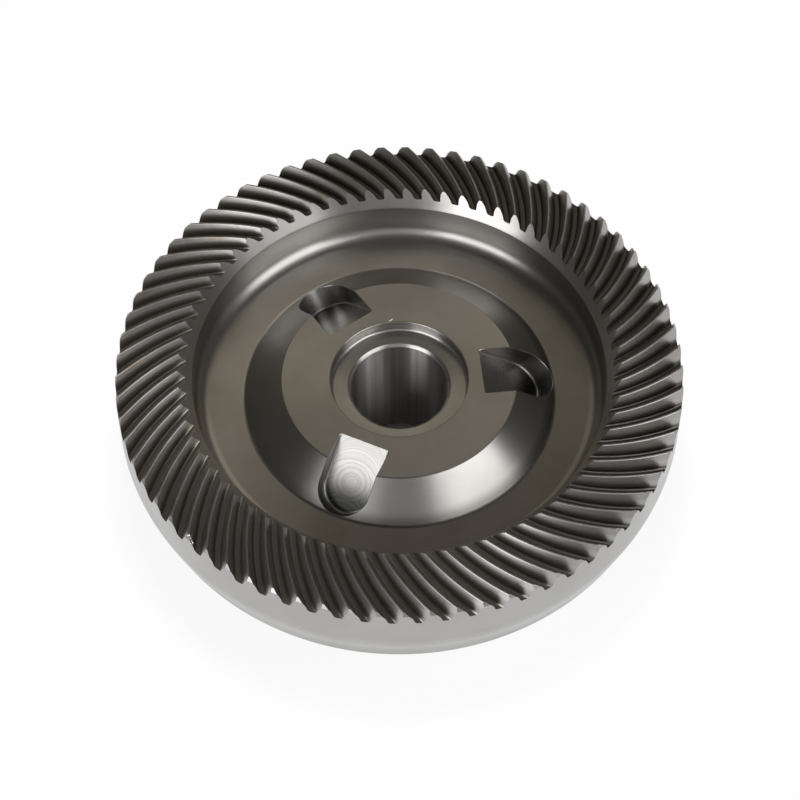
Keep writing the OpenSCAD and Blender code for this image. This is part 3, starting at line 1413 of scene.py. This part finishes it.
@dataclass(frozen=True)
class SteelFinish:
    """How one kind of surface looks: its colour, its film of oil, its gloss, its tool marks and the shade
    painted into some surfaces.
    """

    finish: Finish
    marks: Marks
    tone: Tone
    film: Tone
    roughness: float
    roughness_spread: float = 0.08
    film_scale: float = 110.0
    line_scale: float = 5000.0
    line_contrast: float = 0.16
    line_bump: float = 0.06
    stretch: float = 0.0
    # Share of painted shade on one side of the web.
    shade_share: float = 0.0
    # Share of the tone left at the foot of the outer wall, as painted shade.
    foot: float = 1.0
    grain_scale: float = 6000.0
    hone_scale: float = 6.0
    line_climb: float = 0.8
    line_gloss: float = 0.4
    film_gloss: float = 0.6
    bump_depth: float = 0.02 * MM
    along_shaft: float = 0.25
    mill: MillMarks = MillMarks()
    shade_and_rust: ShadeAndRust = ShadeAndRust()

    def material(self) -> bpy.types.Material:
        """Make the node material of the finish.

        Returns:
            The new material, named for the finish.
        """
        material = bpy.data.materials.new(self.finish.value)
        bench = NodeBench(material)
        place, x, y, z = bench.places()
        cloud = bench.noise(place, self.film_scale, 5.0)
        grain = bench.noise(place, self.grain_scale, 2.0)
        colour = bench.blend(bench.spread(cloud, 0.36, 0.66), self.tone, self.film)
        if self.marks is Marks.TURNED:
            along = bench.math("MULTIPLY_ADD", z, self.line_climb, bench.length(x, y))
            lines = bench.lines(along, self.line_scale)
            colour = self.turned_colour(bench, colour, x, y, z)
        elif self.marks is Marks.HONED:
            lines = bench.spread(bench.lines(bench.math("ARCTAN2", y, x), self.hone_scale), 0.3, 0.75)
        elif self.marks is Marks.MILLED:
            lines, pocket_shade = self.mill_lines(bench)
            # Painted shade at the pocket floor's end and on its walls.
            colour = bench.blend(pocket_shade, colour, self.shade_and_rust.pocket_shade_tone)
        else:
            lines = bench.noise(place, self.line_scale, 4.0)
            colour = self.tooth_colour(bench, colour, place, x, y)
        shade = bench.math("MULTIPLY_ADD", lines, 2.0 * self.line_contrast, 1.0 - self.line_contrast)
        speckle = bench.math("MULTIPLY", shade, bench.spread(grain, 0.2, 0.8, 0.97, 1.03))
        marked = bench.blend(1.0, colour, bench.grey(speckle), "MULTIPLY")
        bench.feed(bench.shader.inputs["Base Color"], marked)
        bench.feed(bench.shader.inputs["Metallic"], 1.0)
        bench.feed(bench.shader.inputs["Roughness"], self.gloss(bench, lines, cloud))
        if self.line_bump > 0.0:
            bench.bump(lines, self.line_bump, self.bump_depth)
        if self.stretch > 0.0:
            bench.feed(bench.shader.inputs["Tangent"], bench.round_shaft())
            bench.feed(bench.shader.inputs["Anisotropic"], self.stretch)
            bench.feed(bench.shader.inputs["Anisotropic Rotation"], self.along_shaft)
        return material

    def gloss(self, bench: NodeBench, lines: Socket, cloud: Socket) -> Value:
        """Vary the roughness with the tool's lines and the film of oil.

        Args:
            bench: Where the material is wired up.
            lines: The tool's lines.
            cloud: Where the film lies.

        Returns:
            The roughness, a plain number where it doesn't vary.
        """
        if self.roughness_spread == 0.0:
            return self.roughness
        filmed = bench.math("MULTIPLY", cloud, self.film_gloss)
        mixed = bench.math("MULTIPLY_ADD", lines, self.line_gloss, filmed)
        half = self.roughness_spread / 2
        return bench.spread(mixed, 0.3, 0.7, self.roughness - half, self.roughness + half)

    def turned_colour(self, bench: NodeBench, colour: Socket, x: Socket, y: Socket, z: Socket) -> Socket:
        """Paint shade on one side of the web and at the foot of the outer wall.

        Args:
            bench: Where the material is wired up.
            colour: Colour of the clean surface.
            x: Distance along X.
            y: Distance along Y.
            z: Height above the back.

        Returns:
            The colour of the turned surface.
        """
        # Painted shade on one side of the web.
        if self.shade_share > 0.0:
            colour = bench.blend(self.web_shade_share(bench, x, y, z), colour, self.shade_and_rust.web_shade_tone)
        # Painted shade at the foot of the outer wall, standing in for the wall reflecting the shaded floor
        # under the rim.
        if self.foot < 1.0:
            low = bench.spread(z, self.shade_and_rust.foot_shade_low_z, self.shade_and_rust.foot_shade_high_z, self.foot, 1.0)
            colour = bench.blend(1.0, colour, bench.grey(low), "MULTIPLY")
        return colour

    def web_shade_share(self, bench: NodeBench, x: Socket, y: Socket, z: Socket) -> Socket:
        """Give the share of painted shade on one side of the web."""
        low = bench.spread(z, self.shade_and_rust.web_shade_full_z, self.shade_and_rust.web_shade_end_z, self.shade_share, 0.0)
        return bench.math("MULTIPLY", bench.side(x, y, self.shade_and_rust.web_shade_side), low)

    def mill_lines(self, bench: NodeBench) -> tuple[Socket, Socket]:
        """Draw the arcs that a mill leaves along its path, and the swirl where it stopped.

        Args:
            bench: Where the material is wired up.

        Returns:
            The lines, around a half, and the share of painted shade on the floor's end and on the walls.
        """
        m = self.mill
        along, across = bench.along_path()
        left_over = bench.math("SUBTRACT", m.arc_square, bench.math("MULTIPLY", across, across))
        chord = bench.math("SQRT", bench.math("MAXIMUM", left_over, 0.0))
        arcs = self.even_lines(bench, bench.math("ADD", along, chord))
        swirl_r = bench.length(bench.math("ADD", along, m.swirl_back), across)
        swirl = self.even_lines(bench, swirl_r)
        edge, soft = m.swirl_edge, m.edge_soft
        inside = bench.spread(swirl_r, edge - soft, edge + soft, 1.0, 0.0)
        rim = bench.math("MULTIPLY", bench.spread(swirl_r, edge - 2.0 * soft, edge),
                         bench.spread(swirl_r, edge, edge + 2.0 * soft, 1.0, 0.0))
        both = bench.math("ADD", bench.math("MULTIPLY", arcs, bench.math("SUBTRACT", 1.0, inside)),
                          bench.math("MULTIPLY", swirl, inside))
        marked = bench.math("SUBTRACT", both, bench.math("MULTIPLY", rim, m.rim_depth))
        off_path = bench.length(bench.math("MAXIMUM", along, 0.0), across)
        on_floor = bench.spread(off_path, m.floor_edge - soft, m.floor_edge + soft, 1.0, 0.0)
        # Painted shade on the floor's end and on the walls.
        pocket_shade_floor = bench.math("MULTIPLY", bench.spread(along, m.pocket_shade_start, m.pocket_shade_end), on_floor)
        pocket_shade = bench.math("MAXIMUM", pocket_shade_floor, bench.spread(on_floor, 0.0, 1.0, m.wall_pocket_shade, 0.0))
        return bench.math("MULTIPLY_ADD", bench.math("SUBTRACT", marked, 0.5), on_floor, 0.5), pocket_shade

    def even_lines(self, bench: NodeBench, place: Socket) -> Socket:
        """Draw the mill's lines along one number, over the whole range from nought to one."""
        return bench.spread(bench.lines(place, self.mill.arc_scale, 1.0), 0.25, 0.75)

    def tooth_colour(self, bench: NodeBench, colour: Socket, place: Socket, x: Socket, y: Socket) -> Socket:
        """Paint shade into the gaps between the teeth and lay a little rust on the tips.

        Args:
            bench: Where the material is wired up.
            colour: Colour of the clean tip.
            place: Place on the piece.
            x: Its distance along X.
            y: Its distance along Y.

        Returns:
            The colour of the tooth.
        """
        g = self.shade_and_rust
        rise = bench.attribute(TOOTH_RISE)
        # Painted shade: the gaps darken towards their bottoms.
        worn_and_shaded = bench.blend(bench.spread(rise, 0.05, 0.75), g.gap_shade_tone, colour)
        # Painted shade in the gap bottoms on one side of the gear.
        bottom_shaded = bench.blend(self.gap_bottom_shade(bench, rise, x, y), worn_and_shaded, g.gap_bottom_shade_tone)
        patches = bench.spread(bench.noise(place, g.rust_scale, 6.0), 0.5, 0.7)
        on_side = bench.math("MULTIPLY", bench.side(x, y, g.rust_side), patches)
        rust = bench.math("MULTIPLY", on_side, bench.spread(rise, 0.6, 0.95, 0.0, g.rust_share))
        return bench.blend(rust, bottom_shaded, g.rust_tone)

    def gap_bottom_shade(self, bench: NodeBench, rise: Socket, x: Socket, y: Socket) -> Socket:
        """Say where painted shade darkens the bottoms of the gaps on one side.

        Args:
            bench: Where the material is wired up.
            rise: Height on the tooth, from 0 at the gap's bottom to 1 at the crest.
            x: Distance along X.
            y: Distance along Y.

        Returns:
            Share of the painted shade.
        """
        g = self.shade_and_rust
        bottom = bench.spread(rise, g.gap_bottom_shade_full, g.gap_bottom_shade_end, g.gap_bottom_shade_share, 0.0)
        return bench.math("MULTIPLY", bottom, bench.side(x, y, g.gap_shade_side))


FINISHES = (
    # The body carries painted shade on one side of its web.
    SteelFinish(Finish.BODY, Marks.TURNED, tone=(0.44, 0.428, 0.414), film=(0.385, 0.372, 0.352),
                roughness=0.32, roughness_spread=0.03, line_contrast=0.02, line_bump=0.002,
                stretch=0.6, shade_share=0.55),
    # The rim carries painted shade at the foot of its wall.
    SteelFinish(Finish.RIM, Marks.TURNED, tone=(0.41, 0.405, 0.4), film=(0.39, 0.385, 0.375),
                roughness=0.29, roughness_spread=0.04, line_contrast=0.03, line_bump=0.004, foot=0.66),
    SteelFinish(Finish.TEETH, Marks.CUT, tone=(0.44, 0.428, 0.415), film=(0.37, 0.357, 0.343),
                roughness=0.38, line_contrast=0.05, line_bump=0.008),
    SteelFinish(Finish.BORE, Marks.HONED, tone=(0.46, 0.455, 0.45), film=(0.42, 0.41, 0.4),
                roughness=0.39, roughness_spread=0.02, line_contrast=0.14, line_bump=0.0, stretch=1.0),
    SteelFinish(Finish.POCKET, Marks.MILLED, tone=(0.515, 0.505, 0.49), film=(0.46, 0.45, 0.435),
                roughness=0.32, roughness_spread=0.0, line_contrast=0.15, line_bump=0.0),
    SteelFinish(Finish.BACK, Marks.TURNED, tone=(0.42, 0.41, 0.38), film=(0.36, 0.35, 0.32),
                roughness=0.32, line_contrast=0.1, line_bump=0.03),
    SteelFinish(Finish.NICK, Marks.TURNED, tone=(0.9, 0.895, 0.885), film=(0.84, 0.835, 0.82),
                roughness=0.3, roughness_spread=0.04, line_contrast=0.04, line_bump=0.0),
)


# Studio

@dataclass(frozen=True)
class Softbox:
    """A soft square lamp, placed by its direction from the gear."""

    name: str
    azimuth: float
    elevation: float
    distance: float
    width: float
    height: float
    glow: float
    tint: Tone = (1.0, 1.0, 1.0)

    def add(self, aim: Vector) -> bpy.types.Object:
        """Add the lamp.

        Args:
            aim: Point that the lamp faces.

        Returns:
            The new lamp object.
        """
        az, el = math.radians(self.azimuth), math.radians(self.elevation)
        away = Vector((math.cos(el) * math.cos(az), math.cos(el) * math.sin(az), math.sin(el)))
        rest_all()
        bpy.ops.object.light_add(type="AREA", location=aim + away * self.distance)
        lamp = bpy.context.object
        lamp.name = self.name
        lamp.rotation_euler = away.to_track_quat("Z", "Y").to_euler()
        lamp.data.shape = "RECTANGLE"
        lamp.data.size = self.width
        lamp.data.size_y = self.height
        lamp.data.energy = self.glow * math.pi * self.width * self.height
        lamp.data.color = self.tint
        return lamp


SOFTBOXES = (
    Softbox("softbox_right", azimuth=-33.0, elevation=37.0, distance=0.7,
            width=0.5, height=0.54, glow=2.8),
    Softbox("softbox_left", azimuth=-128.0, elevation=22.0, distance=0.7,
            width=0.44, height=0.53, glow=3.4),
    Softbox("front_wall", azimuth=-88.0, elevation=34.0, distance=0.8,
            width=0.5, height=0.5, glow=0.5),
    Softbox("ceiling_patch", azimuth=94.0, elevation=45.0, distance=1.2,
            width=1.4, height=0.52, glow=0.53, tint=(1.0, 0.89, 0.71)),
)


@dataclass
class Studio:
    """Floor, world, lamps and camera."""

    sizes: GearSizes
    view_elevation: float = math.radians(55.62)
    view_distance: float = 410.4 * MM
    lens: float = 121.45
    shift_x: float = 0.0008
    shift_y: float = -0.042
    sensor: float = 36.0
    nearest: float = 0.01
    farthest: float = 20.0
    floor_side: float = 6.0
    floor_tone: Tone = (0.9, 0.9, 0.9)
    floor_roughness: float = 0.9
    white_under_rim: float = 0.9
    white_beside: float = 0.085
    room_tint: Tone = (1.0, 0.96, 0.88)
    room_light: float = 0.065

    def aim(self) -> Vector:
        """Give the point on the shaft axis at the level of the tooth tips."""
        return Vector((0.0, 0.0, self.sizes.heel_tip_z))

    def floor(self) -> bpy.types.Object:
        """Lay the pale floor, which shows white and keeps the gear's shadow.

        Returns:
            The new floor object.
        """
        rest_all()
        bpy.ops.mesh.primitive_plane_add(size=self.floor_side, location=(0.0, 0.0, 0.0))
        floor = bpy.context.object
        floor.name = "studio_floor"
        material = bpy.data.materials.new("pale_floor")
        bench = NodeBench(material)
        bench.feed(bench.shader.inputs["Base Color"], (*self.floor_tone, 1.0))
        bench.feed(bench.shader.inputs["Roughness"], self.floor_roughness)
        glow = bench.nodes.new("ShaderNodeEmission")
        bench.feed(glow.inputs["Strength"], 1.0)
        rays = bench.nodes.new("ShaderNodeLightPath").outputs
        seen = bench.math("MAXIMUM", rays["Is Camera Ray"], rays["Is Glossy Ray"])
        seen_all = bench.math("MAXIMUM", seen, rays["Is Transmission Ray"])
        share = bench.math("MULTIPLY", seen_all, self.floor_share(bench))
        mix = bench.nodes.new("ShaderNodeMixShader")
        for socket, source in zip(mix.inputs, (share, bench.shader.outputs[0], glow.outputs[0])):
            bench.feed(socket, source)
        bench.feed(bench.nodes["Material Output"].inputs["Surface"], mix.outputs[0])
        floor.data.materials.append(material)
        return floor

    def floor_share(self, bench: NodeBench) -> Socket:
        """Say how much of the floor shows white: none under the rear hub and less under the rim, a painted
        shadow of the gear on the floor.

        Args:
            bench: Where the floor's material is wired up.

        Returns:
            The share, by the distance from the shaft.
        """
        _, x, y, _ = bench.places()
        radius = bench.length(x, y)
        hub, rim = self.sizes.rear_hub_r, self.sizes.outer_r
        # Painted shadow: the white glow is taken away under the rear hub and lowered under the rim.
        below = bench.spread(radius, hub - 0.5 * MM, hub, 0.0, self.white_under_rim)
        beside = bench.spread(radius, rim - 1.0 * MM, rim + 5.0 * MM, 0.0, self.white_beside)
        return bench.math("ADD", below, beside)

    def world(self) -> None:
        """Give the room a dim even light."""
        world = bpy.data.worlds.new("studio_room")
        bpy.context.scene.world = world
        world.use_nodes = True
        sky = world.node_tree.nodes["Background"]
        sky.inputs["Color"].default_value = (*self.room_tint, 1.0)
        sky.inputs["Strength"].default_value = self.room_light

    def lamps(self) -> None:
        """Set the softboxes."""
        for softbox in SOFTBOXES:
            softbox.add(self.aim())

    def camera(self) -> None:
        """Set the camera at the photograph's viewing angle."""
        up = self.view_elevation
        offset = Vector((0.0, -math.cos(up), math.sin(up))) * self.view_distance
        rest_all()
        bpy.ops.object.camera_add(location=self.aim() + offset, rotation=(math.pi / 2 - up, 0.0, 0.0))
        camera = bpy.context.object
        camera.name = "photo_camera"
        camera.data.sensor_width = self.sensor
        camera.data.lens = self.lens
        camera.data.shift_x = self.shift_x
        camera.data.shift_y = self.shift_y
        camera.data.clip_start = self.nearest
        camera.data.clip_end = self.farthest
        bpy.context.scene.camera = camera

    def build(self) -> None:
        """Set up the whole studio."""
        bpy.context.scene.view_settings.view_transform = "Standard"
        self.floor()
        self.world()
        self.lamps()
        self.camera()


def main() -> None:
    """Build the gear and the studio and report each piece."""
    logging.basicConfig(level=logging.INFO, format="%(name)s: %(message)s")
    sizes = GearSizes()
    for finish in FINISHES:
        finish.material()
    gear = BevelGear(sizes).build()
    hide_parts("bevel_gear")
    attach(gear, "root")
    LOG.info("gear piece: %d triangles", sum(len(f.vertices) - 2 for f in gear.data.polygons))
    Studio(sizes).build()


if __name__ == "__main__":
    main()
